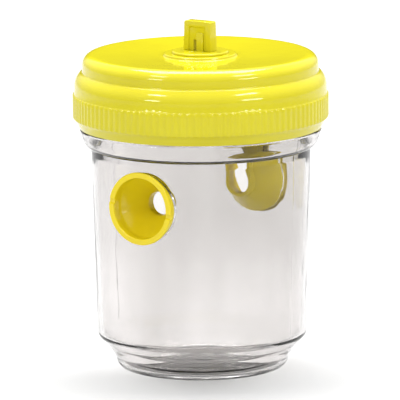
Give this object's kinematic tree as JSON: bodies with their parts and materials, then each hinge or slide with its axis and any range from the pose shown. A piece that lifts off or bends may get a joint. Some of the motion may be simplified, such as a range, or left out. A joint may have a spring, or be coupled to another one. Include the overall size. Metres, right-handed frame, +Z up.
{
  "type": "wasp trap",
  "caption": "Hanging wasp trap: a clear stepped jar with a yellow ribbed screw lid, a swivel hanging tab and opposed entry funnels in its wall.",
  "frame": {"origin": "middle of the jar's base, on the surface it stands on", "axes": "+Z up along the jar's axis; -Y is the front, which the front funnel faces; +X is to the right seen from the front"},
  "size_m": [0.112, 0.112, 0.1534],
  "materials": {
    "clear_plastic": "clear, glossy, moulded",
    "lid_yellow": "opaque bright yellow, glossy",
    "funnel_yellow": "opaque warm yellow, glossy",
    "washer_foam": "matt, soft",
    "clip_white": "natural white, satin"
  },
  "bodies": {
    "jar": {"jar": "clear_plastic"},
    "washer": {"sealing_washer": "washer_foam"},
    "lid": {"lid": "lid_yellow"},
    "hanger": {"hanger": "lid_yellow", "hanger_clip": "clip_white"},
    "funnel_front": {"funnel_front": "funnel_yellow"},
    "funnel_rear": {"funnel_rear": "funnel_yellow"}
  },
  "joints": [
    {"name": "lid_lift", "type": "slide", "parent": "jar", "child": "washer", "axis": [0, 0, 1], "range_m": [0, 0.0301]},
    {"name": "lid_turn", "type": "hinge", "parent": "washer", "child": "lid", "pos_m": [0, 0, 0.117], "axis": [0, 0, 1], "range_deg": [0, 1800]},
    {"name": "hanger_turn", "type": "hinge", "parent": "lid", "child": "hanger", "pos_m": [0, 0, 0.139], "axis": [0, 0, 1], "continuous": true},
    {"name": "funnel_front_pull", "type": "slide", "parent": "jar", "child": "funnel_front", "axis": [0, -1, 0], "range_m": [0, 0.03]},
    {"name": "funnel_rear_pull", "type": "slide", "parent": "jar", "child": "funnel_rear", "axis": [0, 1, 0], "range_m": [0, 0.03]}
  ],
  "couplings": [
    {"joint": "lid_lift", "follows": "lid_turn", "m_per_rad": 0.00095493}
  ]
}
